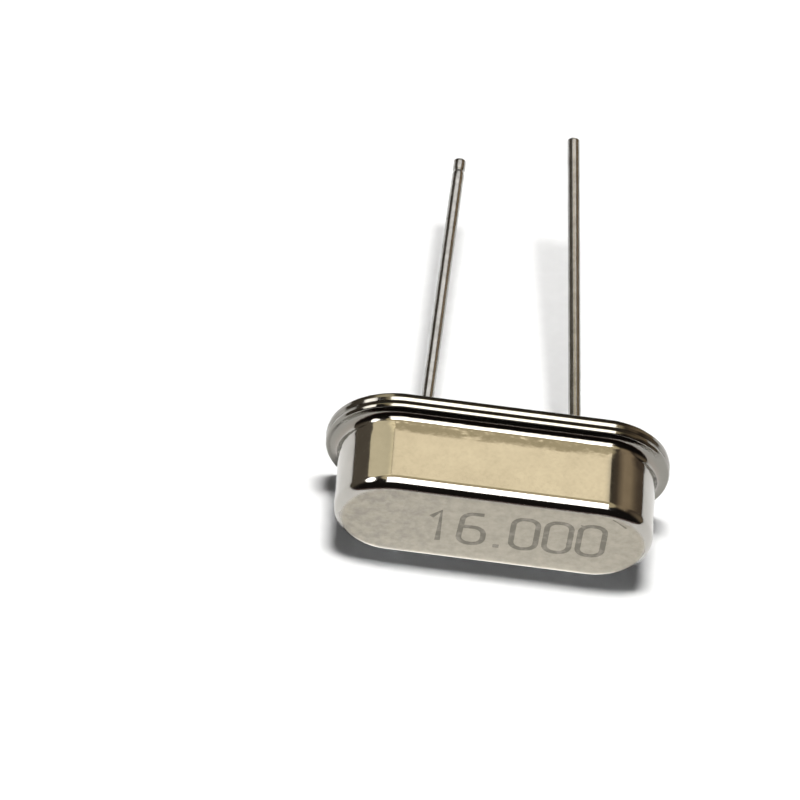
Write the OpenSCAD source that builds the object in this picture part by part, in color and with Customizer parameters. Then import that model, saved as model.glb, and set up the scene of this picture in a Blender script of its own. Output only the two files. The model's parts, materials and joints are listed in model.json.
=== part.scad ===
// Low-profile quartz crystal in an oval metal can with two wire leads, lying on its flat side.
// Every piece is drawn upright: the seating plane is z = 0, the can stands up, the leads hang down.
// lie_down() then tips the whole package over to where it comes to rest.

/* [Can] */
// Length of the oval can, outside its wall
can_length = 10.16; // [9.4:0.02:10.6]
// Width of the oval can, outside its wall
can_width = 3.76; // [3.4:0.02:4.2]
// Height of the closed end above the seating plane
can_height = 3.35; // [2.8:0.05:4.5]
// Sheet thickness of the can
can_sheet = 0.25; // [0.21:0.01:0.28]
// Outside radius around the closed end
can_end_radius = 0.44; // [0.3:0.02:0.6]

/* [Flanges] */
// How far the can's flange stands out from its wall
flange_reach = 0.44; // [0.32:0.02:0.6]
// Rounding along the edges of both flanges
flange_edge_radius = 0.11; // [0.04:0.01:0.12]
// Width of the flat ring where the two flanges are welded together
weld_land = 0.04; // [0.02:0.01:0.12]
// How far the base's flange stands out past the can's flange
base_flange_margin = 0; // [0:0.01:0.08]

/* [Base] */
// Thickness of the base's flange
base_flange_thickness = 0.31; // [0.24:0.01:0.4]
// Height of the base's platform above the seating plane
platform_height = 0.85; // [0.6:0.05:1]
// Gap between the platform and the inside of the can
platform_clearance = 0.1; // [0.06:0.01:0.3]
// Rounding around the top of the platform
platform_edge_radius = 0.1; // [0.04:0.01:0.2]

/* [Glass seals] */
// Diameter of the glass beads and of their holes in the base
seal_diameter = 1.3; // [1:0.05:1.8]
// Depth of the hollow in each end of a bead
seal_hollow = 0.05; // [0.02:0.01:0.1]
// Width of the flat rims beside that hollow
seal_rim = 0.03; // [0.01:0.01:0.06]

/* [Leads] */
// Distance between the leads at the seating plane
lead_pitch = 4.88; // [4:0.02:5.2]
// Diameter of the lead wire
lead_diameter = 0.4; // [0.3:0.01:0.5]
// Length of wire below the seating plane
lead_length = 12.7; // [4:0.1:20]
// Straight length of wire between the seating plane and its bend
lead_stub = 0.4; // [0.2:0.1:2]
// Radius of the bend, at the middle of the wire
lead_bend_radius = 1.5; // [0.8:0.1:3]
// Bevel around the cut end of the wire
lead_tip_bevel = 0.04; // [0.02:0.01:0.1]
// Lean of the left lead towards the right one, in degrees
left_toe_angle = 3.2; // [0.5:0.1:6]
// Lean of the left lead out of the plane of the leads, in degrees
left_lift_angle = -6.9; // [-8:0.1:8]
// Lean of the right lead towards the left one, in degrees
right_toe_angle = 3; // [0.5:0.1:6]
// Lean of the right lead out of the plane of the leads, in degrees
right_lift_angle = 1.5; // [-8:0.1:8]
// Diameter of the head on the inner end of each lead
lead_head_diameter = 0.8; // [0.6:0.05:1.2]
// Thickness of that head
lead_head_thickness = 0.12; // [0.08:0.01:0.2]
// Gap between the head and the platform
lead_head_gap = 0.1; // [0.05:0.01:0.2]

/* [Support clips] */
// Sheet thickness of the clips
clip_sheet = 0.08; // [0.05:0.01:0.12]
// Width of the clips
clip_width = 1.1; // [0.8:0.05:1.4]
// Length of a clip's foot past the axis of its lead
clip_foot = 0.4; // [0.2:0.05:0.8]
// Distance from the axis of the lead back to the riser of the clip
clip_riser_offset = 0.45; // [0.3:0.05:0.8]
// Height of the shelf above the head of the lead
clip_rise = 0.4; // [0.36:0.02:0.6]
// Inside radius of the clip's bends
clip_bend_radius = 0.06; // [0.04:0.01:0.09]
// Height of the stop at the outer end of the shelf
clip_stop_height = 0.3; // [0.2:0.05:0.5]
// Gap between the stop and the end of the blank
clip_stop_gap = 0.1; // [0.05:0.01:0.2]

/* [Quartz blank] */
// Gap between each end of the quartz strip and the inside of the can
blank_end_gap = 0.85; // [0.6:0.05:1.1]
// Gap between each side of the quartz strip and the inside of the can
blank_side_gap = 0.7; // [0.5:0.05:0.9]
// Thickness of the quartz strip
blank_thickness = 0.15; // [0.05:0.01:0.3]

/* [Electrodes] */
// Length of each electrode's field in the middle of the blank
electrode_length = 3.6; // [2:0.1:4.4]
// Bare strip of quartz along each side of the field
electrode_margin = 0.2; // [0.1:0.05:0.4]
// Width of the tab from the field to the end of the blank
electrode_tab_width = 0.6; // [0.3:0.1:1]
// How far the tab's fold on the far face reaches past the adhesive
electrode_fold_margin = 0.15; // [0:0.05:0.3]
// Thickness of the film
electrode_film = 0.02; // [0.01:0.005:0.03]

/* [Adhesive] */
// Diameter of the adhesive pads
adhesive_diameter = 0.5; // [0.3:0.05:0.6]
// Thickness of the adhesive pads
adhesive_thickness = 0.06; // [0.03:0.01:0.1]
// Distance from the end of the blank to the middle of its adhesive pad
adhesive_inset = 0.45; // [0.3:0.05:0.8]

/* [Hidden] */
$fn = 64;

// Side of a piece along x
left = -1;
right = 1;

// Ovals around the middle line: its straight length, and their half-widths
oval_straight = can_length - can_width;
wall_half = can_width / 2;
cavity_half = wall_half - can_sheet;
can_flange_half = wall_half + flange_reach;
base_flange_half = can_flange_half + base_flange_margin;
platform_half = cavity_half - platform_clearance;

// Levels above the seating plane
weld_level = base_flange_thickness;
flange_top = weld_level + can_sheet;
head_level = platform_height + lead_head_gap;
clip_level = head_level + lead_head_thickness;
shelf_top = clip_level + clip_rise;
shelf_bottom = shelf_top - clip_sheet;
adhesive_top = shelf_top + adhesive_thickness;
blank_middle = adhesive_top + electrode_film + blank_thickness / 2;

// Corner between the can's wall and its flange, as wide as the weld leaves it
root_radius = flange_reach - flange_edge_radius - weld_land;

lead_radius = lead_diameter / 2;
seal_radius = seal_diameter / 2;

blank_length = can_length - 2 * (can_sheet + blank_end_gap);
blank_width = can_width - 2 * (can_sheet + blank_side_gap);

// Places along x of a clip's foot, riser, shelf and stop
foot_end = lead_pitch / 2 + clip_foot;
riser_far = lead_pitch / 2 - clip_riser_offset;
riser_near = riser_far - clip_sheet;
shelf_start = riser_far + clip_bend_radius;
stop_near = blank_length / 2 + electrode_film + clip_stop_gap;
shelf_end = stop_near - clip_bend_radius;

adhesive_middle = blank_length / 2 - adhesive_inset;
electrode_fold = adhesive_inset + adhesive_diameter / 2 + electrode_fold_margin;

// The package rests on the round edge of a flange and on the round edge of its closed end
nose_level = can_height - can_end_radius;
nose_half = wall_half - can_end_radius;
rest_tilt = max(
    edge_tilt(can_flange_half - flange_edge_radius, flange_top - flange_edge_radius),
    edge_tilt(base_flange_half - flange_edge_radius, weld_level - flange_edge_radius)
);
rest_height = can_end_radius + nose_half * cos(rest_tilt) + nose_level * sin(rest_tilt);
front_reach = can_end_radius + nose_half * sin(rest_tilt) + nose_level * cos(rest_tilt);
left_run = lead_run(left, left_toe_angle, left_lift_angle);
right_run = lead_run(right, right_toe_angle, right_lift_angle);
back_reach = max(lead_reach(left_run), lead_reach(right_run));
rest_shift = (front_reach - back_reach) / 2;

// Slope of the line that touches a flange's round edge, centred at half and level, and the closed end's
function edge_tilt(half, level) =
    let (
        out = half - nose_half,
        along = nose_level - level
    )
    atan2(out, along) - asin((can_end_radius - flange_edge_radius) / norm([out, along]));

// Direction of a lead past its bend, then the angle and the heading of that bend
function lead_run(side, toe_angle, lift_angle) = [-side * tan(toe_angle), tan(lift_angle), -1];
function bend_angle(run) = acos(1 / norm(run));
function bend_heading(run) = atan2(run.y, run.x);

// Length of the straight leg past the bend
function leg_length(run) = lead_length - lead_stub - lead_bend_radius * bend_angle(run) * PI / 180;

// How far behind the seating plane's centre a lead ends, once the package lies down
function lead_reach(run) =
    let (
        angle = bend_angle(run),
        leg = leg_length(run),
        aside = lead_bend_radius * (1 - cos(angle)) + leg * sin(angle),
        drop = lead_stub + lead_bend_radius * sin(angle) + leg * cos(angle),
        rise = aside * sin(bend_heading(run)),
        slant = (cos(rest_tilt) - run.y * sin(rest_tilt)) / norm(run),
        tip_edge = (lead_radius - lead_tip_bevel) * sqrt(1 - slant * slant)
    )
    drop * cos(rest_tilt) - rise * sin(rest_tilt) + tip_edge;

// Tips the upright package onto its side, closed end to the front and leads to the back
module lie_down() {
    translate([0, rest_shift, rest_height])
        rotate([90 + rest_tilt, 0, 0])
            children();
}

// Sweeps a half-section around the oval: x is the distance from the middle line, y is the height
module oval_sweep() {
    for (side = [left, right])
        translate([side * oval_straight / 2, 0, 0])
            rotate([0, 0, -side * 90])
                rotate_extrude(angle = 180)
                    children();
    rotate([90, 0, 90])
        linear_extrude(oval_straight, center = true)
            union() {
                children();
                mirror([1, 0]) children();
            }
}

// What lies between a square corner at the origin and the arc that rounds it
module corner_sliver(radius) {
    difference() {
        square(radius);
        translate([radius, radius]) circle(radius);
    }
}

// Half-section of a plate from the middle line outwards, with rounded outer edges
module plate_section(half, low, high, low_radius, high_radius) {
    difference() {
        translate([0, low]) square([half, high - low]);
        if (high_radius > 0)
            translate([half, high]) rotate(180) corner_sliver(high_radius);
        if (low_radius > 0)
            translate([half, low]) rotate(90) corner_sliver(low_radius);
    }
}

// Half-section of the can, one sheet thick all the way
module can_section() {
    difference() {
        union() {
            plate_section(can_flange_half, weld_level, flange_top, flange_edge_radius, flange_edge_radius);
            plate_section(wall_half, weld_level, can_height, 0, can_end_radius);
            translate([wall_half, flange_top]) corner_sliver(root_radius);
        }
        plate_section(cavity_half, 0, can_height - can_sheet, 0, can_end_radius - can_sheet);
        translate([cavity_half, weld_level]) corner_sliver(root_radius + can_sheet);
    }
}

module can() {
    color([0.74, 0.7, 0.62])
        oval_sweep() can_section();
}

module base() {
    color([0.66, 0.64, 0.6])
        difference() {
            oval_sweep()
                union() {
                    plate_section(base_flange_half, 0, weld_level, flange_edge_radius, flange_edge_radius);
                    plate_section(platform_half, 0, platform_height, 0, platform_edge_radius);
                }
            for (side = [left, right])
                translate([side * lead_pitch / 2, 0, -weld_level])
                    cylinder(h = platform_height + 2 * weld_level, d = seal_diameter);
        }
}

// Glass bead from the seating plane to the platform, with a shallow round hollow in each end
module glass_seal(side) {
    hollow_width = seal_radius - lead_radius - 2 * seal_rim;
    hollow_radius = (hollow_width * hollow_width / 4 + seal_hollow * seal_hollow) / (2 * seal_hollow);
    color([0.2, 0.26, 0.28])
        translate([side * lead_pitch / 2, 0, 0])
            rotate_extrude()
                difference() {
                    translate([lead_radius, 0]) square([seal_radius - lead_radius, platform_height]);
                    for (level = [seal_hollow - hollow_radius, platform_height - seal_hollow + hollow_radius])
                        translate([(lead_radius + seal_radius) / 2, level]) circle(hollow_radius);
                }
}

// Wire with a head at its inner end, straight through the glass, then bent aside and cut off
module lead(side, run) {
    angle = bend_angle(run);
    leg = leg_length(run);
    color([0.78, 0.76, 0.72])
        translate([side * lead_pitch / 2, 0, 0]) {
            translate([0, 0, head_level]) cylinder(h = lead_head_thickness, d = lead_head_diameter);
            translate([0, 0, -lead_stub]) cylinder(h = lead_stub + head_level, d = lead_diameter);
            rotate([0, 0, bend_heading(run)])
                translate([lead_bend_radius, 0, -lead_stub])
                    rotate([90, 0, 0]) {
                        rotate([0, 0, 180])
                            rotate_extrude(angle = angle)
                                translate([lead_bend_radius, 0]) circle(d = lead_diameter);
                        rotate([0, 0, angle])
                            translate([-lead_bend_radius, 0, 0])
                                rotate([90, 0, 0])
                                    wire_leg(leg);
                    }
        }
}

// Straight wire along z with a bevelled end
module wire_leg(leg) {
    cylinder(h = leg - lead_tip_bevel, d = lead_diameter);
    translate([0, 0, leg - lead_tip_bevel])
        cylinder(h = lead_tip_bevel, r1 = lead_radius, r2 = lead_radius - lead_tip_bevel);
}

// Quarter of a sheet's bend around the origin, from below it to its right
module bend_section() {
    outer = clip_bend_radius + clip_sheet;
    intersection() {
        difference() {
            circle(outer);
            circle(clip_bend_radius);
        }
        translate([0, -outer]) square(outer);
    }
}

// Edge view of a clip: foot on the lead's head, riser, shelf out to the end of the blank, and stop
module clip_section() {
    foot_top = clip_level + clip_sheet;
    translate([shelf_start, clip_level]) square([foot_end - shelf_start, clip_sheet]);
    translate([shelf_start, foot_top + clip_bend_radius]) rotate(-90) bend_section();
    translate([riser_near, foot_top + clip_bend_radius])
        square([clip_sheet, shelf_bottom - foot_top - 2 * clip_bend_radius]);
    translate([shelf_start, shelf_bottom - clip_bend_radius]) rotate(180) bend_section();
    translate([shelf_start, shelf_bottom]) square([shelf_end - shelf_start, clip_sheet]);
    translate([shelf_end, shelf_top + clip_bend_radius]) bend_section();
    translate([stop_near, shelf_top + clip_bend_radius])
        square([clip_sheet, clip_stop_height - clip_bend_radius]);
}

module support_clip(side) {
    color([0.7, 0.66, 0.52])
        rotate([90, 0, 90 - side * 90])
            linear_extrude(clip_width, center = true)
                clip_section();
}

module quartz_blank() {
    color([0.86, 0.9, 0.92])
        translate([0, 0, blank_middle])
            cube([blank_length, blank_width, blank_thickness], center = true);
}

// Film on the upper face of the blank: field, tab to the left end, and the fold around that end
module electrode() {
    half_length = blank_length / 2;
    half_thickness = blank_thickness / 2;
    tab_length = half_length - electrode_length / 2;
    tab_side = electrode_tab_width / 2;
    field_width = blank_width - 2 * electrode_margin;
    color([0.82, 0.82, 0.8]) {
        translate([-electrode_length / 2, -field_width / 2, half_thickness])
            cube([electrode_length, field_width, electrode_film]);
        translate([-half_length - electrode_film, -tab_side, -half_thickness - electrode_film]) {
            cube([electrode_film, electrode_tab_width, blank_thickness + 2 * electrode_film]);
            cube([electrode_film + electrode_fold, electrode_tab_width, electrode_film]);
            translate([0, 0, electrode_film + blank_thickness])
                cube([electrode_film + tab_length, electrode_tab_width, electrode_film]);
        }
    }
}

module top_electrode() {
    translate([0, 0, blank_middle]) electrode();
}

module bottom_electrode() {
    translate([0, 0, blank_middle]) rotate([0, 180, 0]) electrode();
}

module adhesive(side) {
    color([0.6, 0.6, 0.58])
        translate([side * adhesive_middle, 0, shelf_top])
            cylinder(h = adhesive_thickness, d = adhesive_diameter);
}

lie_down() can();
lie_down() base();
lie_down() glass_seal(left);  // glass_seal_left
lie_down() glass_seal(right);  // glass_seal_right
lie_down() lead(left, left_run);  // lead_left
lie_down() lead(right, right_run);  // lead_right
lie_down() support_clip(left);  // support_clip_left
lie_down() support_clip(right);  // support_clip_right
lie_down() quartz_blank();
lie_down() top_electrode();
lie_down() bottom_electrode();
lie_down() adhesive(left);  // adhesive_left
lie_down() adhesive(right);  // adhesive_right
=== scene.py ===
import json
import math
import bpy
from mathutils import Matrix, Quaternion, Vector


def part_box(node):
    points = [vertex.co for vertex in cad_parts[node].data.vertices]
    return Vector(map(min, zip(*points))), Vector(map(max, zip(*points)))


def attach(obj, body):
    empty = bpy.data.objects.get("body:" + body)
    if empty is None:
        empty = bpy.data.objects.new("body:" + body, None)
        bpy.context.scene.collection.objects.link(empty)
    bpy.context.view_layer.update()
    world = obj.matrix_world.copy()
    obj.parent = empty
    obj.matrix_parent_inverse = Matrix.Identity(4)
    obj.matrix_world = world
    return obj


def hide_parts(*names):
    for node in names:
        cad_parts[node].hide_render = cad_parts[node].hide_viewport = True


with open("model.json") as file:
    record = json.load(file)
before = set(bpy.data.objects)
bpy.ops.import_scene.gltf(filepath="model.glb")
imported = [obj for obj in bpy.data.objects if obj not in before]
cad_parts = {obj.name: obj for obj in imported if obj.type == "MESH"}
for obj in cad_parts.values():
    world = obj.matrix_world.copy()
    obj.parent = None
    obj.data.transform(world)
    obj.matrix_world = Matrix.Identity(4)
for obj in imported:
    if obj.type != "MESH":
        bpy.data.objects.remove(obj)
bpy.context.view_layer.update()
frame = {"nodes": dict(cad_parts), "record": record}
print("frame loaded:", len(frame["nodes"]), "nodes")

mm = 0.001
left, right = -1, 1
bothSides = ((left, "left"), (right, "right"))
mounts = {mount["name"]: mount for mount in frame["record"]["mounts"]}

# pieces are drawn upright in millimetres, seating plane at z = 0, and laid down in metres at the end
seatPlace = Vector(mounts["seating_face"]["pos_m"])
canUp = -Vector(mounts["seating_face"]["axis"]).normalized()
lengthwise = Vector((1, 0, 0))
sideUp = canUp.cross(lengthwise)
turnDown = Matrix((lengthwise, sideUp, canUp)).transposed()
layDown = Matrix.Translation(seatPlace) @ turnDown.to_4x4() @ Matrix.Scale(mm, 4)
standUp = layDown.inverted()

# node helpers

creaseAngle = 30  # edges that bend by more degrees than this stay sharp
trackMerge, sheetMerge, strokeMerge = 0.001, 0.0006, 0.0002  # points this close, in mm, become one


def feed(tree, socket, value):
    # a socket takes a link from another node, or a plain value
    if isinstance(value, bpy.types.NodeSocket):
        tree.links.new(value, socket)
    else:
        socket.default_value = value


def put(tree, kind, links=None, **settings):
    node = tree.nodes.new(kind)
    for name, value in settings.items():
        setattr(node, name, value)
    for name, value in (links or {}).items():
        feed(tree, node.inputs[name], value)
    return node


def geo(tree, kind, links=None, **settings):
    return put(tree, "GeometryNode" + kind, links, **settings)


def shade(tree, kind, links=None, **settings):
    return put(tree, "ShaderNode" + kind, links, **settings)


def maths(tree, operation, first, second):
    node = shade(tree, "Math", operation=operation)
    feed(tree, node.inputs[0], first)
    feed(tree, node.inputs[1], second)
    return node.outputs["Value"]


def newGeoTree(name, sockets):
    tree = bpy.data.node_groups.new(name, "GeometryNodeTree")
    tree.interface.new_socket("Geometry", in_out="OUTPUT", socket_type="NodeSocketGeometry")
    for label, kind in sockets:
        tree.interface.new_socket(label, in_out="INPUT", socket_type="NodeSocket" + kind)
    entry = tree.nodes.new("NodeGroupInput").outputs
    return tree, entry


def closeTree(tree, geometry, finish):
    # every tree ends the same way: plain geometry with its finish on it
    real = geo(tree, "RealizeInstances", {"Geometry": geometry})
    done = geo(tree, "SetMaterial", {"Geometry": real.outputs["Geometry"], "Material": finish})
    tree.links.new(done.outputs["Geometry"], tree.nodes.new("NodeGroupOutput").inputs["Geometry"])


def attribute(tree, name):
    return geo(tree, "InputNamedAttribute", {"Name": name}, data_type="FLOAT").outputs["Attribute"]


def roundedChain(tree, mesh, steps):
    # a chain of points as a curve, rounded at each point by the bend that it carries
    chain = geo(tree, "MeshToCurve", {"Mesh": mesh})
    rounded = geo(tree, "FilletCurve", {
        "Curve": chain.outputs["Curve"], "Count": steps, "Radius": attribute(tree, "bend"),
        "Limit Radius": True}, mode="POLY")
    return rounded.outputs["Curve"]


def joined(tree, parts):
    node = geo(tree, "JoinGeometry")
    for part in parts:
        tree.links.new(part, node.inputs["Geometry"])
    return node.outputs["Geometry"]


def slide(tree, mesh, distance):
    shift = shade(tree, "CombineXYZ", {"X": distance})
    moved = geo(tree, "Transform", {"Geometry": mesh, "Translation": shift.outputs["Vector"]})
    return moved.outputs["Geometry"]


def smoothUnder(tree, mesh, angle):
    # smooth faces, with sharp edges where the bend is stronger than the angle
    soft = geo(tree, "SetShadeSmooth", {"Geometry": mesh}, domain="FACE")
    bend = geo(tree, "InputMeshEdgeAngle").outputs["Unsigned Angle"]
    sharp = put(tree, "FunctionNodeCompare", {"A": bend, "B": math.radians(angle)}, data_type="FLOAT",
                operation="GREATER_THAN")
    edges = geo(tree, "SetShadeSmooth", {"Geometry": soft.outputs["Geometry"], "Shade Smooth": False,
                                         "Selection": sharp.outputs["Result"]}, domain="EDGE")
    return edges.outputs["Geometry"]


def chainMesh(name, chains):
    # each chain is a list of (place, attributes) and whether it closes on itself
    mesh = bpy.data.meshes.new(name)
    points, edges, values = [], [], {}
    for chain, closed in chains:
        start = len(points)
        for place, extra in chain:
            points.append(place)
            for key, value in extra.items():
                values.setdefault(key, {})[len(points) - 1] = value
        edges += [(i, i + 1) for i in range(start, len(points) - 1)]
        if closed:
            edges.append((len(points) - 1, start))
    mesh.from_pydata(points, edges, [])
    for key, found in values.items():
        layer = mesh.attributes.new(key, "FLOAT", "POINT")
        for i, value in found.items():
            layer.data[i].value = value
    return mesh


def growPiece(name, chains, tree, inputs, evenNormals=True):
    # runs the tree on the chains, keeps the plain mesh and lays it down in the frame
    maker = bpy.data.objects.new(name + "Chain", chainMesh(name + "Chain", chains))
    bpy.context.scene.collection.objects.link(maker)
    grow = maker.modifiers.new("grow", "NODES")
    grow.node_group = tree
    keys = {item.name: item.identifier for item in tree.interface.items_tree if item.in_out == "INPUT"}
    for label, value in inputs.items():
        grow[keys[label]] = value
    if evenNormals:
        even = maker.modifiers.new("even", "WEIGHTED_NORMAL")  # keeps flat faces flat beside round edges
        even.keep_sharp = True
    graph = bpy.context.evaluated_depsgraph_get()
    mesh = bpy.data.meshes.new_from_object(maker.evaluated_get(graph), depsgraph=graph)
    bpy.data.objects.remove(maker)
    mesh.name = name
    mesh.transform(layDown)
    piece = bpy.data.objects.new(name, mesh)
    bpy.context.scene.collection.objects.link(piece)
    print("made", name + ":", len(mesh.vertices), "points,", len(mesh.polygons), "faces")
    return piece


def settle(piece, slot, *nodes):
    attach(piece, "root")
    if nodes:
        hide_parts(*nodes)


# material helpers: all patterns are laid out on the upright part, in millimetres

noiseSpread = (0.3, 0.7)  # most of a noise's values lie between these
mixShare, mixFirst, mixSecond, mixResult = 0, 6, 7, 2  # places of a Mix node's colour sockets


def newFinish(name):
    finish = bpy.data.materials.new(name)
    finish.use_nodes = True
    tree = finish.node_tree
    tree.nodes.clear()
    surface = shade(tree, "BsdfPrincipled")
    shade(tree, "OutputMaterial", {"Surface": surface.outputs["BSDF"]})
    coords = shade(tree, "TexCoord").outputs["Object"]
    place = shade(tree, "Mapping", {
        "Vector": coords, "Location": standUp.to_translation(), "Rotation": standUp.to_euler(),
        "Scale": (1 / mm,) * 3}, vector_type="POINT")
    return finish, tree, surface, place.outputs["Vector"]


def grain(tree, place, size, detail=3.0, stretch=None, coarse=0.55):
    # noise whose spots are about size millimetres across
    if stretch:
        drawn = shade(tree, "Mapping", {"Vector": place, "Scale": stretch}, vector_type="POINT")
        place = drawn.outputs["Vector"]
    noise = shade(tree, "TexNoise", {"Vector": place, "Scale": 1 / size, "Detail": detail,
                                     "Roughness": coarse})
    return noise.outputs["Fac"]


def ramp(tree, value, places, colours):
    node = shade(tree, "ValToRGB", {"Fac": value})
    elements = node.color_ramp.elements
    while len(elements) < len(places):
        elements.new(0.5)  # moved to its own place below
    for element, at, colour in zip(elements, places, colours):
        element.position = at
        element.color = (*colour, 1.0)
    return node.outputs["Color"]


def span(tree, value, fromLow, fromHigh, toLow, toHigh, smooth=False):
    node = shade(tree, "MapRange", {
        "Value": value, "From Min": fromLow, "From Max": fromHigh, "To Min": toLow, "To Max": toHigh},
        interpolation_type="SMOOTHSTEP" if smooth else "LINEAR")
    return node.outputs["Result"]


def axes(tree, place):
    return shade(tree, "SeparateXYZ", {"Vector": place}).outputs


def blend(tree, share, first, second):
    mix = shade(tree, "Mix", data_type="RGBA")
    tree.links.new(share, mix.inputs[mixShare])
    for socket, colour in ((mix.inputs[mixFirst], first), (mix.inputs[mixSecond], second)):
        feed(tree, socket, colour if isinstance(colour, bpy.types.NodeSocket) else (*colour, 1))
    return mix.outputs[mixResult]


def bumps(tree, layers):
    # layers of (height, depth in millimetres), from broad to fine
    normal = None
    for height, depth in layers:
        links = {"Height": height, "Distance": depth * mm, "Strength": 1.0}
        if normal:
            links["Normal"] = normal
        normal = shade(tree, "Bump", links).outputs["Normal"]
    return normal


def dress(tree, surface, tone, roughness, layers, metallic=1.0):
    tree.links.new(tone, surface.inputs["Base Color"])
    tree.links.new(roughness, surface.inputs["Roughness"])
    tree.links.new(bumps(tree, layers), surface.inputs["Normal"])
    surface.inputs["Metallic"].default_value = metallic


def plainFinish(name, look, cutAt=None):
    # clouds of two tones, with specks of roughness that are also felt as fine relief
    finish, tree, surface, place = newFinish(name)
    cloud = grain(tree, place, look["cloud"], detail=4)
    speck = grain(tree, place, look["cloud"] / look["specks"], stretch=look.get("lines"))
    tone = ramp(tree, cloud, noiseSpread, (look["dull"], look["bright"]))
    if cutAt is not None:  # a cut end is bare and dark, with a ragged edge
        edge = grain(tree, place, look["cutGrain"])
        ragged = span(tree, edge, *noiseSpread, -look["cutRagged"], look["cutRagged"])
        height = maths(tree, "ADD", axes(tree, place)["Z"], ragged)
        bare = span(tree, height, cutAt, cutAt + look["cutReach"], 1, 0, True)
        tone = blend(tree, bare, tone, look["cutTone"])
    layers = [(speck, look["speckDepth"])]
    if "cloudDepth" in look:
        layers.insert(0, (cloud, look["cloudDepth"]))
    roughness = span(tree, speck, *noiseSpread, *look["roughness"])
    dress(tree, surface, tone, roughness, layers, look["metallic"])
    return finish


# the drawn can: one sheet, closed end up, flange out at the bottom

can = {
    "length": 10.16, "width": 3.76, "height": 3.35, "sheet": 0.25, "endRadius": 0.44,
    "flangeReach": 0.44, "rootRadius": 0.29, "weldLevel": 0.31,
    "flareStart": 1.06, "flareRadius": 5.0, "flareOut": 0.015,
    "rimTaper": 0.04, "rimRidge": 0.46, "rimBend": 0.05, "cornerSteps": 20, "endSteps": 36,
    # clouds of two tones on the walls, finer ones on the closed end
    "dull": (0.44, 0.425, 0.395), "bright": (0.49, 0.475, 0.445),
    "cloud": 0.8, "cloudSpread": (0.32, 0.68),
    "endDull": (0.4, 0.368, 0.304), "endBright": (0.48, 0.442, 0.366),
    "mottle": 0.3, "mottleSpread": (0.36, 0.64), "mottleCoarse": 0.6,
    "endFrom": 0.08, "endFull": 0.005,  # how far below the top this finish starts, and is full
    # painted shade: the flange and its root darker, by height, for the dark surroundings they reflect
    "flangeShadeTone": (0.265, 0.255, 0.23), "rootShadeTone": (0.29, 0.265, 0.235),
    "rootFrom": 0.57, "rootTo": 0.68, "shadeEnd": 0.82,
    # handling stains, thicker to the left
    "stain": (0.3, 0.28, 0.245), "stainSize": 0.42, "stainSpread": (0.42, 0.68), "stainCoarse": 0.62,
    "stainFrom": -0.6, "stainTo": -3.4, "stainMost": 0.65,
    "sideRoughness": (0.06, 0.12), "endRoughness": (0.4, 0.52), "speck": 0.12,
    "wave": 1.1, "waveStretch": (1.0, 1.0, 0.6), "waveDepth": 0.006,
    "ripple": 0.55, "rippleFade": (0.9, 1.3), "rippleDepth": 0.014, "peel": 0.16, "peelDepth": 0.0005,
}
can["half"] = can["width"] / 2
can["straight"] = can["length"] - can["width"]
can["cavity"] = can["half"] - can["sheet"]
can["flangeHalf"] = can["half"] + can["flangeReach"]
can["flangeTop"] = can["weldLevel"] + can["sheet"]


def ovalSweepTree():
    # sweeps a section (x out from the middle line, y up) around the oval
    tree, entry = newGeoTree("ovalSweep", [
        ("Section", "Geometry"), ("Straight Length", "Float"), ("Guide Radius", "Float"),
        ("Corner Steps", "Int"), ("End Steps", "Int"), ("Finish", "Material")])
    guide = entry["Guide Radius"]
    across = maths(tree, "MULTIPLY", guide, 2.0)
    along = maths(tree, "ADD", across, entry["Straight Length"])
    box = geo(tree, "CurvePrimitiveQuadrilateral", {"Width": along, "Height": across})
    oval = geo(tree, "FilletCurve", {"Curve": box.outputs["Curve"], "Count": entry["End Steps"],
                                     "Radius": guide, "Limit Radius": True}, mode="POLY")
    # the arcs meet in doubled points, which would tear the sweep at both ends
    loop = geo(tree, "CurveToMesh", {"Curve": oval.outputs["Curve"]})
    single = geo(tree, "MergeByDistance", {"Geometry": loop.outputs["Mesh"], "Distance": trackMerge})
    track = geo(tree, "MeshToCurve", {"Mesh": single.outputs["Geometry"]})
    path = geo(tree, "SetCurveNormal", {"Curve": track.outputs["Curve"]}, mode="Z_UP")
    inward = shade(tree, "CombineXYZ", {"X": maths(tree, "MULTIPLY", guide, -1.0)})
    # the sweep turns a section's y downwards, so it is turned over first
    section = geo(tree, "Transform", {
        "Geometry": roundedChain(tree, entry["Section"], entry["Corner Steps"]),
        "Translation": inward.outputs["Vector"], "Scale": (1, -1, 1)})
    swept = geo(tree, "CurveToMesh", {"Curve": path.outputs["Curve"],
                                      "Profile Curve": section.outputs["Geometry"]})
    closed = geo(tree, "MergeByDistance", {"Geometry": swept.outputs["Mesh"], "Distance": sheetMerge})
    closeTree(tree, smoothUnder(tree, closed.outputs["Geometry"], creaseAngle), entry["Finish"])
    return tree


def ovalInside(tree, entry, labels):
    # the oval sweep as one node of another tree, fed from that tree's inputs
    node = tree.nodes.new("GeometryNodeGroup")
    node.node_tree = sweepTree
    for label in labels:
        tree.links.new(entry[label], node.inputs[label])
    return node


def bendChain(points, closed=False):
    return [([((x, y, 0.0), {"bend": bend}) for x, y, bend in points], closed)]


canSection = [
    (0, can["height"], 0),
    (can["half"], can["height"], can["endRadius"]),
    (can["half"], can["flareStart"], can["flareRadius"]),
    (can["half"] + can["flareOut"], can["flangeTop"], can["rootRadius"]),
    (can["flangeHalf"] - can["rimTaper"], can["flangeTop"], can["rimBend"]),
    (can["flangeHalf"], can["rimRidge"], can["rimBend"]),
    (can["flangeHalf"] - can["rimTaper"], can["weldLevel"], can["rimBend"] / 2),
    (can["cavity"], can["weldLevel"], can["rootRadius"] + can["sheet"]),
    (can["cavity"], can["height"] - can["sheet"], can["endRadius"] - can["sheet"]),
    (0, can["height"] - can["sheet"], 0),
]


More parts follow.
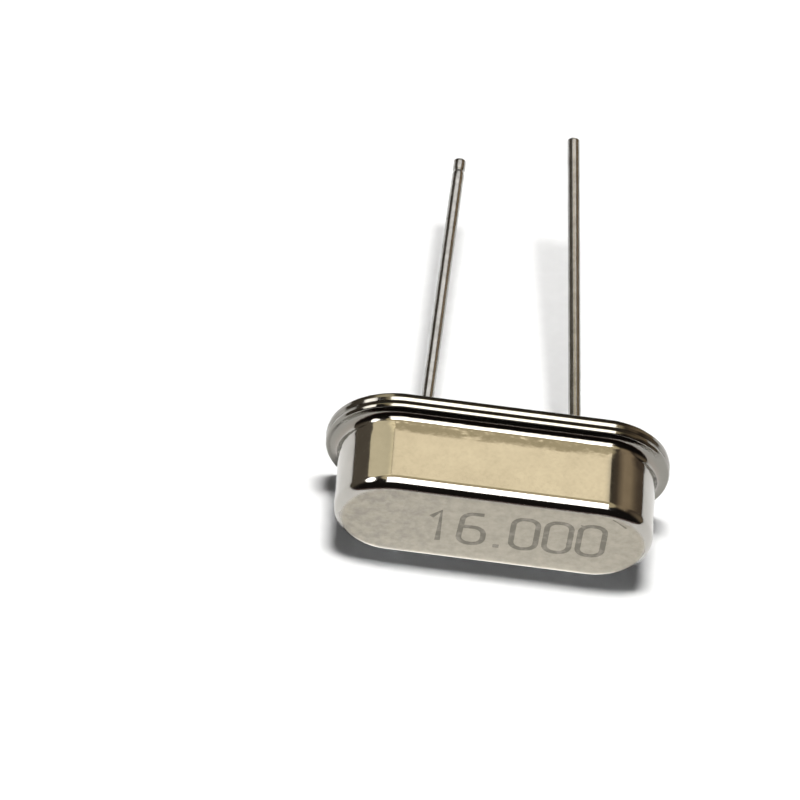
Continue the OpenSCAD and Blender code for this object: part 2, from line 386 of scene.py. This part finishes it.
def canFinish():
    finish, tree, surface, place = newFinish("drawnNickel")
    spot = axes(tree, place)
    top = can["height"]
    onEnd = span(tree, spot["Z"], top - can["endFrom"], top - can["endFull"], 0, 1, True)
    cloud = grain(tree, place, can["cloud"], detail=4)
    metal = ramp(tree, cloud, can["cloudSpread"], (can["dull"], can["bright"]))
    mottle = grain(tree, place, can["mottle"], detail=5, coarse=can["mottleCoarse"])
    plate = ramp(tree, mottle, can["mottleSpread"], (can["endDull"], can["endBright"]))
    # handling stains on the closed end, thickest at its left
    spots = grain(tree, place, can["stainSize"], detail=5, coarse=can["stainCoarse"])
    patch = span(tree, spots, *can["stainSpread"], 0, 1, True)
    leftward = span(tree, spot["X"], can["stainFrom"], can["stainTo"], 0, can["stainMost"], True)
    stained = maths(tree, "MULTIPLY", maths(tree, "MULTIPLY", patch, leftward), onEnd)
    # painted shade: darker tones on the flange and in its root, for the dark surroundings they reflect
    inRoot = span(tree, spot["Z"], can["rootFrom"], can["rootTo"], 0, 1, True)
    pastShade = span(tree, spot["Z"], can["rootTo"], can["shadeEnd"], 0, 1, True)
    paintedFlangeShade = blend(tree, pastShade, blend(tree, inRoot, can["flangeShadeTone"], can["rootShadeTone"]), metal)
    tone = blend(tree, stained, blend(tree, onEnd, paintedFlangeShade, plate), can["stain"])
    speck = grain(tree, place, can["speck"], detail=2)
    side = span(tree, speck, *noiseSpread, *can["sideRoughness"])
    end = span(tree, speck, *noiseSpread, *can["endRoughness"])
    rough = shade(tree, "Mix", {"Factor": onEnd, "A": side, "B": end}, data_type="FLOAT")
    # long draw waves, ripples beside the flange, and a fine orange peel
    wave = grain(tree, place, can["wave"], detail=2, stretch=can["waveStretch"])
    ripple = maths(tree, "MULTIPLY", grain(tree, place, can["ripple"], detail=2),
                   span(tree, spot["Z"], *can["rippleFade"], 1, 0, True))
    peel = grain(tree, place, can["peel"], detail=2)
    dress(tree, surface, tone, rough.outputs["Result"],
          [(wave, can["waveDepth"]), (ripple, can["rippleDepth"]), (peel, can["peelDepth"])])
    return finish


sweepTree = ovalSweepTree()
canPiece = growPiece("drawnCan", bendChain(canSection), sweepTree, {
    "Straight Length": can["straight"], "Guide Radius": can["half"], "Corner Steps": can["cornerSteps"],
    "End Steps": can["endSteps"], "Finish": canFinish()})
settle(canPiece, "can_nickel", "can")
canPiece.visible_diffuse = False  # the floor doesn't see the metal, so its shadow stays dark and grey

# the base: a stamped plate whose platform fills the can's mouth, with a hole for each bead

base = {
    "flangeHalf": can["flangeHalf"], "weldLevel": can["weldLevel"],
    "platformGap": 0.1, "platformTop": 0.85, "platformEdge": 0.1,
    "backEdge": 0.1, "backTaper": 0.025, "rimRidge": 0.2,
    "holeRadius": 0.65, "holeSteps": 96, "drillDepth": 4.0,
    "dull": (0.25, 0.24, 0.22), "bright": (0.3, 0.29, 0.265), "cloud": 0.6, "specks": 6,
    "metallic": 1.0, "roughness": (0.08, 0.16), "cloudDepth": 0.002, "speckDepth": 0.0004,
}
base["platformHalf"] = can["cavity"] - base["platformGap"]
sealLow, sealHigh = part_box("glass_seal_right")
leadPlace = (standUp @ ((sealLow + sealHigh) / 2)).x  # half the distance between the leads
baseSection = [
    (0, 0, 0),
    (base["flangeHalf"] - base["backTaper"], 0, base["backEdge"]),
    (base["flangeHalf"], base["rimRidge"], can["rimBend"]),
    (base["flangeHalf"] - can["rimTaper"], base["weldLevel"], can["rimBend"] / 2),
    (base["platformHalf"], base["weldLevel"], 0),
    (base["platformHalf"], base["platformTop"], base["platformEdge"]),
    (0, base["platformTop"], 0),
]


def basePlateTree():
    # the oval sweep, with two round holes cut through it
    tree, entry = newGeoTree("basePlate", [
        ("Section", "Geometry"), ("Straight Length", "Float"), ("Guide Radius", "Float"),
        ("Corner Steps", "Int"), ("End Steps", "Int"), ("Hole Radius", "Float"), ("Hole Place", "Float"),
        ("Hole Steps", "Int"), ("Drill Depth", "Float"), ("Finish", "Material")])
    plate = ovalInside(tree, entry, (
        "Section", "Straight Length", "Guide Radius", "Corner Steps", "End Steps", "Finish"))
    drill = geo(tree, "MeshCylinder", {"Vertices": entry["Hole Steps"], "Radius": entry["Hole Radius"],
                                       "Depth": entry["Drill Depth"]})
    cutters = [slide(tree, drill.outputs["Mesh"], maths(tree, "MULTIPLY", entry["Hole Place"], side))
               for side in (left, right)]
    cut = geo(tree, "MeshBoolean", operation="DIFFERENCE", solver="EXACT")
    tree.links.new(plate.outputs["Geometry"], cut.inputs["Mesh 1"])
    tree.links.new(joined(tree, cutters), cut.inputs["Mesh 2"])
    closeTree(tree, smoothUnder(tree, cut.outputs["Mesh"], creaseAngle), entry["Finish"])
    return tree


basePiece = growPiece("basePlate", bendChain(baseSection), basePlateTree(), {
    "Straight Length": can["straight"], "Guide Radius": can["half"], "Corner Steps": can["cornerSteps"],
    "End Steps": can["endSteps"], "Hole Radius": base["holeRadius"], "Hole Place": leadPlace,
    "Hole Steps": base["holeSteps"], "Drill Depth": base["drillDepth"],
    "Finish": plainFinish("stampedNickel", base)})
settle(basePiece, "base_nickel", "base")

# glass beads, hollowed at both ends where the glass crept up the metal

seal = {
    "inner": 0.2, "outer": base["holeRadius"], "height": base["platformTop"], "hollow": 0.05, "rim": 0.03,
    "hollowSteps": 10, "turnSteps": 24, "cornerSteps": 1,
    "dark": (0.045, 0.06, 0.062), "light": (0.085, 0.105, 0.105),
    "swirl": 0.3, "swirlSpread": (0.35, 0.7), "bubble": 0.06, "bubbleDepth": 0.0015,
    "roughness": (0.06, 0.16), "coat": 0.5, "coatRoughness": 0.05, "ior": 1.52,
}


def hollowArc(level, sign):
    # points of the shallow round hollow between the two rims, from the wire outwards
    start, end = seal["inner"] + seal["rim"], seal["outer"] - seal["rim"]
    half, depth = (end - start) / 2, seal["hollow"]
    radius = (half * half + depth * depth) / (2 * depth)
    reach = math.asin(half / radius)
    points = []
    for i in range(seal["hollowSteps"] + 1):
        turn = reach * (2 * i / seal["hollowSteps"] - 1)
        drop = radius * math.cos(turn) - (radius - depth)
        points.append(((start + end) / 2 + radius * math.sin(turn), level + sign * drop, 0))
    return points


sealSection = [
    (seal["inner"], seal["height"], 0), *hollowArc(seal["height"], -1),
    (seal["outer"], seal["height"], 0), (seal["outer"], 0, 0),
    *reversed(hollowArc(0, 1)), (seal["inner"], 0, 0),
]


def sealFinish():
    finish, tree, surface, place = newFinish("sealGlass")
    swirl = grain(tree, place, seal["swirl"])
    tone = ramp(tree, swirl, seal["swirlSpread"], (seal["dark"], seal["light"]))
    bubble = grain(tree, place, seal["bubble"], detail=2)
    dress(tree, surface, tone, span(tree, bubble, *noiseSpread, *seal["roughness"]),
          [(bubble, seal["bubbleDepth"])], metallic=0.0)
    surface.inputs["Coat Weight"].default_value = seal["coat"]
    surface.inputs["Coat Roughness"].default_value = seal["coatRoughness"]
    surface.inputs["IOR"].default_value = seal["ior"]
    return finish


def turnedTree():
    # the oval sweep with no straight part, moved to its lead
    tree, entry = newGeoTree("turnedBead", [
        ("Section", "Geometry"), ("Guide Radius", "Float"), ("Corner Steps", "Int"), ("End Steps", "Int"),
        ("Place", "Float"), ("Finish", "Material")])
    ring = ovalInside(tree, entry, ("Section", "Guide Radius", "Corner Steps", "End Steps", "Finish"))
    ring.inputs["Straight Length"].default_value = 0.0
    closeTree(tree, slide(tree, ring.outputs["Geometry"], entry["Place"]), entry["Finish"])
    return tree


beadTree = turnedTree()
glassFinish = sealFinish()
for side, name in bothSides:
    bead = growPiece("glassBead" + name.title(), bendChain(sealSection, True), beadTree, {
        "Guide Radius": (seal["inner"] + seal["outer"]) / 2, "Corner Steps": seal["cornerSteps"],
        "End Steps": seal["turnSteps"], "Place": side * leadPlace, "Finish": glassFinish})
    settle(bead, "seal_glass", "glass_seal_" + name)

# wire leads: from the head inside, through the glass, bent aside and cut off

lead = {
    "radius": 0.2, "bendRadius": 1.5, "tipBevel": 0.04,
    "headLevel": 0.95, "headRadius": 0.4, "headThickness": 0.12, "roundSteps": 40, "bendSteps": 24,
    # the cutter's pinch on the left lead: (back from the tip, squeeze)
    "pinch": ((1.3, 0.0), (1.22, 0.012), (1.1, 0.004),
              (0.62, 0.0), (0.52, 0.03), (0.44, 0.03), (0.36, 0.0)),
    "dull": (0.32, 0.312, 0.297), "bright": (0.42, 0.412, 0.397), "cloud": 0.35, "specks": 6,
    "lines": (1.0, 1.0, 0.12), "metallic": 1.0, "roughness": (0.14, 0.26),
    "cloudDepth": 0.002, "speckDepth": 0.0004,
    "cutTone": (0.09, 0.08, 0.07), "cutReach": 0.14, "cutGrain": 0.15, "cutRagged": 0.05,
}


def wireTree():
    # a round wire along its route, thinner where the route says, and a flat head on its inner end
    tree, entry = newGeoTree("wireLead", [
        ("Route", "Geometry"), ("Round Steps", "Int"), ("Bend Steps", "Int"), ("Head Radius", "Float"),
        ("Head Thickness", "Float"), ("Head Middle", "Vector"), ("Finish", "Material")])
    ring = geo(tree, "CurvePrimitiveCircle", {"Resolution": entry["Round Steps"], "Radius": 1.0})
    route = roundedChain(tree, entry["Route"], entry["Bend Steps"])
    wire = geo(tree, "CurveToMesh", {"Curve": route, "Profile Curve": ring.outputs["Curve"],
                                     "Scale": attribute(tree, "gauge"), "Fill Caps": True})
    clean = geo(tree, "MergeByDistance", {"Geometry": wire.outputs["Mesh"], "Distance": sheetMerge})
    disc = geo(tree, "MeshCylinder", {"Vertices": entry["Round Steps"], "Radius": entry["Head Radius"],
                                      "Depth": entry["Head Thickness"]})
    head = geo(tree, "Transform", {"Geometry": disc.outputs["Mesh"], "Translation": entry["Head Middle"]})
    both = joined(tree, (clean.outputs["Geometry"], head.outputs["Geometry"]))
    closeTree(tree, smoothUnder(tree, both, creaseAngle), entry["Finish"])
    return tree


def wireRoute(side, pin):
    # the pin mount gives the straight leg, which runs back to meet the line of the stub
    middle = standUp @ Vector(pin["pos_m"])
    along = (turnDown.inverted() @ Vector(pin["axis"])).normalized()
    halfLeg = pin["dims"]["length_mm"] / 2
    stub = Vector((side * leadPlace, 0, 0))
    reach = (middle - stub).xy.dot(along.xy) / along.xy.length_squared
    corner = middle - along * reach
    full = lead["radius"]
    route = [((stub.x, 0, lead["headLevel"]), {"bend": 0.0, "gauge": full}),
             ((stub.x, 0, corner.z), {"bend": lead["bendRadius"], "gauge": full})]
    leg = [(0.0, 0.0), (-lead["tipBevel"], lead["tipBevel"])]  # back from the tip, squeeze
    if side == left:
        leg = [*lead["pinch"], *leg]
    route += [(tuple(middle + along * (halfLeg - back)), {"bend": 0.0, "gauge": full - squeeze})
              for back, squeeze in leg]
    return route


leadTree = wireTree()
wires = bpy.data.collections.new("wires")  # lit by glows of their own
allButWires = bpy.data.collections.new("allButWires")
for side, name in bothSides:
    route = wireRoute(side, mounts["lead_" + name + "_pin"])
    tipLevel = route[-1][0][2]
    wire = growPiece("wireLead" + name.title(), [(route, False)], leadTree, {
        "Round Steps": lead["roundSteps"], "Bend Steps": lead["bendSteps"],
        "Head Radius": lead["headRadius"], "Head Thickness": lead["headThickness"],
        "Head Middle": (side * leadPlace, 0, lead["headLevel"] + lead["headThickness"] / 2),
        "Finish": plainFinish("tinnedWire" + name.title(), lead, tipLevel)})
    settle(wire, "lead_wire", "lead_" + name)
    wires.objects.link(wire)
    allButWires.objects.link(wire)
for member in allButWires.collection_objects:
    member.light_linking.link_state = "EXCLUDE"

# finishes for the mount inside the can, which keeps its CAD shapes

inside = {
    "springSheet": {
        "nodes": ("support_clip_left", "support_clip_right"),
        "dull": (0.6, 0.56, 0.47), "bright": (0.72, 0.68, 0.58),
        "cloud": 0.3, "specks": 4, "metallic": 1.0, "roughness": (0.2, 0.35), "speckDepth": 0.002},
    "quartzStrip": {
        "nodes": ("quartz_blank",),
        "dull": (0.78, 0.83, 0.85), "bright": (0.86, 0.9, 0.91),
        "cloud": 0.5, "specks": 4, "metallic": 0.0, "roughness": (0.12, 0.3), "speckDepth": 0.002},
    "silverFilm": {
        "nodes": ("top_electrode", "bottom_electrode"),
        "dull": (0.8, 0.79, 0.76), "bright": (0.9, 0.89, 0.86),
        "cloud": 0.4, "specks": 4, "metallic": 1.0, "roughness": (0.08, 0.2), "speckDepth": 0.002},
    "silverPaste": {
        "nodes": ("adhesive_left", "adhesive_right"),
        "dull": (0.46, 0.45, 0.44), "bright": (0.6, 0.59, 0.57),
        "cloud": 0.08, "specks": 4, "metallic": 0.3, "roughness": (0.5, 0.8), "speckDepth": 0.002},
}
for name, look in inside.items():
    finish = plainFinish(name, look)
    for node in look["nodes"]:
        frame["nodes"][node].data.materials.clear()
        frame["nodes"][node].data.materials.append(finish)
print("inner finishes set")

# the number on the closed end: generic rounded figures, a hair proud of the metal

mark = {
    "figures": "16.000", "height": 1.6, "figureWidth": 0.78, "pitch": 1.06,
    "pointWidth": 0.2, "pointPitch": 0.62, "corner": 0.34, "cornerSteps": 10,
    "middle": (0.68, 0.15), "tilt": 2.2,
    "strokeWidth": 0.18, "strokeHeight": 0.004, "nibSteps": 12, "creaseAngle": 60,
    # corners of each figure, as shares of its width, height and corner radius, and whether it closes
    "shapes": {
        "0": (((0, 0, 1), (1, 0, 1), (1, 1, 1), (0, 1, 1)), True),
        "1": (((0.16, 0.78, 0), (0.55, 1, 0), (0.55, 0, 0)), False),
        "6": (((0.92, 1, 0), (0.1, 1, 1), (0, 0, 1), (1, 0, 1), (1, 0.56, 1), (0.03, 0.56, 0)), False),
        ".": (((0, 0, 0), (1, 0, 0)), False)},
    "dark": (0.2, 0.185, 0.15), "light": (0.33, 0.305, 0.26), "worn": 0.3, "wornSpread": (0.46, 0.72),
    "pits": 0.05, "pitDepth": 0.001, "roughness": (0.34, 0.46),
}


def markChains():
    # writes the figures side by side, then turns the line and centres it on its place
    pens, x = [], 0.0
    for figure in mark["figures"]:
        isPoint = figure == "."
        width = mark["pointWidth"] if isPoint else mark["figureWidth"]
        step = mark["pointPitch"] if isPoint else mark["pitch"]
        inset = (step - width) / 2
        corners, closed = mark["shapes"][figure]
        points = [(x + inset + across * width, up * mark["height"], bend * mark["corner"])
                  for across, up, bend in corners]
        pens.append((points, closed))
        x += step
    turn = Matrix.Rotation(math.radians(mark["tilt"]), 2)
    chains = []
    for points, closed in pens:
        chain = []
        for px, py, bend in points:
            flat = turn @ Vector((px - x / 2, py - mark["height"] / 2)) + Vector(mark["middle"])
            chain.append(((flat.x, flat.y, can["height"]), {"bend": bend}))
        chains.append((chain, closed))
    return chains


def strokeTree():
    # a flat rounded stroke along each chain
    tree, entry = newGeoTree("etchedStroke", [
        ("Chains", "Geometry"), ("Corner Steps", "Int"), ("Nib Steps", "Int"),
        ("Width", "Float"), ("Height", "Float"), ("Finish", "Material")])
    route = roundedChain(tree, entry["Chains"], entry["Corner Steps"])
    flat = geo(tree, "SetCurveNormal", {"Curve": route}, mode="Z_UP")
    pen = geo(tree, "CurvePrimitiveCircle", {"Resolution": entry["Nib Steps"], "Radius": 0.5})
    shape = shade(tree, "CombineXYZ", {"X": entry["Width"], "Y": entry["Height"], "Z": 1.0})
    nib = geo(tree, "Transform", {"Geometry": pen.outputs["Curve"], "Scale": shape.outputs["Vector"]})
    stroke = geo(tree, "CurveToMesh", {
        "Curve": flat.outputs["Curve"], "Profile Curve": nib.outputs["Geometry"], "Fill Caps": True})
    clean = geo(tree, "MergeByDistance", {"Geometry": stroke.outputs["Mesh"], "Distance": strokeMerge})
    closeTree(tree, smoothUnder(tree, clean.outputs["Geometry"], mark["creaseAngle"]), entry["Finish"])
    return tree


def markFinish():
    finish, tree, surface, place = newFinish("etchedMark")
    worn = grain(tree, place, mark["worn"], detail=4)
    tone = ramp(tree, worn, mark["wornSpread"], (mark["dark"], mark["light"]))
    pits = grain(tree, place, mark["pits"], detail=2)
    roughness = span(tree, pits, *noiseSpread, *mark["roughness"])
    dress(tree, surface, tone, roughness, [(pits, mark["pitDepth"])])
    return finish


penTree = strokeTree()
darkFinish = markFinish()
markPiece = growPiece("etchedNumber", markChains(), penTree, {
    "Corner Steps": mark["cornerSteps"], "Nib Steps": mark["nibSteps"], "Width": mark["strokeWidth"],
    "Height": mark["strokeHeight"], "Finish": darkFinish}, evenNormals=False)
settle(markPiece, "can_nickel")

# wear on the closed end: one short scratch at the right of its upper edge and a fleck beside the number

wear = {
    "scratch": ((3.6, 1.5), (3.86, 1.33), (4.08, 1.17)), "fleck": ((2.66, 1.02), (2.75, 0.99)),
    "bend": 0.2, "cornerSteps": 6, "strokeWidth": 0.07, "strokeHeight": 0.004,
}


def endLevel(x, y):
    # height of the closed end, flat in the middle and falling round its edge
    past = max(abs(x) - can["straight"] / 2, 0)
    over = max(math.hypot(past, y) - (can["half"] - can["endRadius"]), 0)
    return can["height"] - can["endRadius"] + math.sqrt(can["endRadius"] ** 2 - over ** 2)


scars = [([((x, y, endLevel(x, y)), {"bend": wear["bend"]}) for x, y in wear[name]], False)
         for name in ("scratch", "fleck")]
wearPiece = growPiece("endScratches", scars, penTree, {
    "Corner Steps": wear["cornerSteps"], "Nib Steps": mark["nibSteps"], "Width": wear["strokeWidth"],
    "Height": wear["strokeHeight"], "Finish": darkFinish}, evenNormals=False)
settle(wearPiece, "can_nickel")

# the pale floor, and three cards on it in front that only reflections see

papers = {
    "paleFloor": {"finish": "palePaper", "half": 0.6, "near": 0.6, "far": -0.6, "level": 0.0,
                  "dull": (0.87, 0.87, 0.87), "bright": (0.9, 0.9, 0.9)},
    # lit, in front of the closed end
    "glowCard": {"finish": "glowPaper", "half": 0.006, "near": -0.0077, "far": -0.024, "level": 0.00005,
                 "dull": (0.87, 0.87, 0.87), "bright": (0.9, 0.9, 0.9), "glow": 1.2},
    # a brighter strip along the line where the part touches the floor
    "rimCard": {"finish": "rimPaper", "half": 0.0036, "near": -0.00736, "far": -0.00775, "level": 0.00004,
                "point": 0.0011, "dull": (0.87, 0.87, 0.87), "bright": (0.9, 0.9, 0.9), "glow": 2.2},
    # dark brown, beyond the lit ones
    "blackCard": {"finish": "blackPaper", "half": 0.4, "near": -0.024, "far": -0.4, "level": 0.0003,
                  "dull": (0.09, 0.06, 0.055), "bright": (0.12, 0.082, 0.076)},
}
paperFibre, paperRoughness, paperShine = 0.4, (0.75, 0.95), 0.1


def paperFinish(look):
    finish, tree, surface, place = newFinish(look["finish"])
    fibre = grain(tree, place, paperFibre, detail=4)
    tone = ramp(tree, fibre, noiseSpread, (look["dull"], look["bright"]))
    tree.links.new(span(tree, fibre, *noiseSpread, *paperRoughness), surface.inputs["Roughness"])
    surface.inputs["Specular IOR Level"].default_value = paperShine
    if "glow" in look:  # lit from within, so no shadow shows on it
        tree.links.new(tone, surface.inputs["Emission Color"])
        surface.inputs["Emission Strength"].default_value = look["glow"]
        surface.inputs["Base Color"].default_value = (0, 0, 0, 1)
    else:
        tree.links.new(tone, surface.inputs["Base Color"])
    return finish


def layPaper(name, look):
    half, near, far = look["half"], look["near"], look["far"]
    tip = half + look.get("point", 0.0)  # pointed ends fade a card's reflection out
    halfway = (near + far) / 2
    corners = [(-half, far), (half, far), (tip, halfway), (half, near), (-half, near), (-tip, halfway)]
    mesh = bpy.data.meshes.new(name)
    mesh.from_pydata([(x, y, look["level"]) for x, y in corners], [], [tuple(range(len(corners)))])
    mesh.materials.append(paperFinish(look))
    paper = bpy.data.objects.new(name, mesh)
    bpy.context.scene.collection.objects.link(paper)
    return paper


for name, look in papers.items():
    paper = layPaper(name, look)
    if name != "paleFloor":
        paper.visible_camera = paper.visible_diffuse = paper.visible_shadow = False
print("floor and cards laid")

# softboxes, each placed by where it stands on the sky: degrees up from the back over the top, then
# sideways; tall and wide are degrees of the sky too, and each lights either the floor or the metal

lights = {
    "creamPanel": {"up": 61, "aside": 0.045, "tall": 11, "wide": 28, "colour": (1.0, 0.882, 0.657),
                   "radiance": 0.84, "onlyOn": allButWires},
    "creamWing": {"up": 55, "aside": -0.56, "tall": 30, "wide": 33.4, "colour": (1.0, 0.89, 0.6),
                  "radiance": 0.88, "onlyOn": allButWires},
    "wireGlow": {"up": 51, "aside": 0.0, "tall": 24, "wide": 50, "colour": (1.0, 0.99, 0.98),
                 "radiance": 1.6, "onlyOn": wires},
    "wireGlowFront": {"up": 145, "aside": 0.0, "tall": 60, "wide": 60, "colour": (1.0, 0.98, 0.95),
                      "radiance": 0.8, "onlyOn": wires},
    "topBox": {"up": 100.5, "aside": -0.02, "tall": 23, "wide": 37, "colour": (1.0, 0.985, 0.96),
               "radiance": 5.0},
    "frontBox": {"up": 121.5, "aside": -0.02, "tall": 19, "wide": 37, "colour": (1.0, 0.985, 0.96),
                 "radiance": 4.5},
    "leftWindow": {"up": 95, "aside": -1.2, "tall": 36, "wide": 19, "colour": (1.0, 0.985, 0.96),
                   "radiance": 3.0, "shape": "ELLIPSE"},
    "keyBox": {"up": 90, "aside": -0.03, "tall": 8, "wide": 18, "colour": (1.0, 0.995, 0.985),
               "radiance": 86.0, "away": 0.2, "onFloor": True},
    "fillBox": {"up": 90, "aside": 0.0, "tall": 110, "wide": 110, "colour": (1.0, 1.0, 1.0),
                "radiance": 0.125, "onFloor": True},
}
lightAway = 0.4
lightAim = Vector((0, -6.0 * mm, 2.5 * mm))
for name, box in lights.items():
    up = math.radians(box["up"])
    towards = Vector((box["aside"], math.cos(up), math.sin(up))).normalized()
    away = box.get("away", lightAway)
    data = bpy.data.lights.new(name, "AREA")
    data.shape = box.get("shape", "RECTANGLE")
    data.size = 2 * away * math.tan(math.radians(box["wide"] / 2))
    data.size_y = 2 * away * math.tan(math.radians(box["tall"] / 2))
    data.color = box["colour"]
    data.energy = box["radiance"] * math.pi * data.size * data.size_y
    lamp = bpy.data.objects.new(name, data)
    bpy.context.scene.collection.objects.link(lamp)
    tallWay = towards.cross(lengthwise).normalized()
    wideWay = tallWay.cross(towards)
    facing = Matrix((wideWay, tallWay, towards)).transposed().to_4x4()
    lamp.matrix_world = Matrix.Translation(lightAim + towards * away) @ facing
    lamp.light_linking.receiver_collection = box.get("onlyOn")
    lamp.visible_camera = False
    lamp.visible_diffuse = box.get("onFloor", False)
    lamp.visible_glossy = not lamp.visible_diffuse
print("lights set:", ", ".join(lights))

room = {
    # stops from the left to the right of the room, as direction cosines
    "around": [(-1.0, (0.13, 0.11, 0.085)), (-0.7, (0.13, 0.11, 0.085)), (-0.3, (0.065, 0.058, 0.048)),
               (0.3, (0.065, 0.054, 0.04)), (0.45, (0.105, 0.08, 0.055)), (0.62, (0.4, 0.305, 0.195)),
               (0.73, (0.375, 0.285, 0.18)), (0.82, (0.08, 0.058, 0.042)), (1.0, (0.21, 0.165, 0.11))],
    "front": (0.012, 0.01, 0.009), "frontFade": (-0.35, 0.1),
    "overhead": (0.7, 0.59, 0.37), "overheadFade": (0.84, 0.9),
}


def roomLight():
    # a dim room: grey to the left, brown to the right, black to the front
    world = bpy.data.worlds.new("dimRoom")
    bpy.context.scene.world = world
    world.use_nodes = True
    world.cycles_visibility.diffuse = False  # only the metal sees the room
    tree = world.node_tree
    tree.nodes.clear()
    towards = axes(tree, shade(tree, "TexCoord").outputs["Generated"])
    places = [(x + 1) / 2 for x, colour in room["around"]]
    colours = [colour for x, colour in room["around"]]
    sideways = ramp(tree, span(tree, towards["X"], -1, 1, 0, 1), places, colours)
    frontness = span(tree, towards["Y"], *room["frontFade"], 1, 0, True)
    overhead = span(tree, towards["Z"], *room["overheadFade"], 0, 1, True)
    seen = blend(tree, overhead, blend(tree, frontness, sideways, room["front"]), room["overhead"])
    sky = shade(tree, "Background", {"Color": seen, "Strength": 1.0})
    shade(tree, "OutputWorld", {"Surface": sky.outputs["Background"]})


roomLight()
bpy.context.scene.view_settings.view_transform = "Standard"

# the photograph's view, in millimetres and degrees: what is in its middle, and where the camera stands

view = {
    "target": (-3.3003, -3.636, 3.0153), "distance": 179.966, "azimuth": -5.2256, "elevation": 43.412,
    "roll": 10.902, "lens": 253.77, "sensor": 36.0, "clip": (0.005, 5.0),
}
camData = bpy.data.cameras.new("photoCamera")
camData.lens, camData.sensor_width = view["lens"], view["sensor"]
camData.clip_start, camData.clip_end = view["clip"]
cam = bpy.data.objects.new("photoCamera", camData)
bpy.context.scene.collection.objects.link(cam)
turn, rise = math.radians(view["azimuth"]), math.radians(view["elevation"])
back = Vector((math.sin(turn) * math.cos(rise), -math.cos(turn) * math.cos(rise), math.sin(rise)))
cam.rotation_mode = "QUATERNION"
cam.rotation_quaternion = back.to_track_quat("Z", "Y") @ Quaternion((0, 0, 1), math.radians(view["roll"]))
cam.location = Vector(view["target"]) * mm + back * view["distance"] * mm
bpy.context.scene.camera = cam
print("camera set")
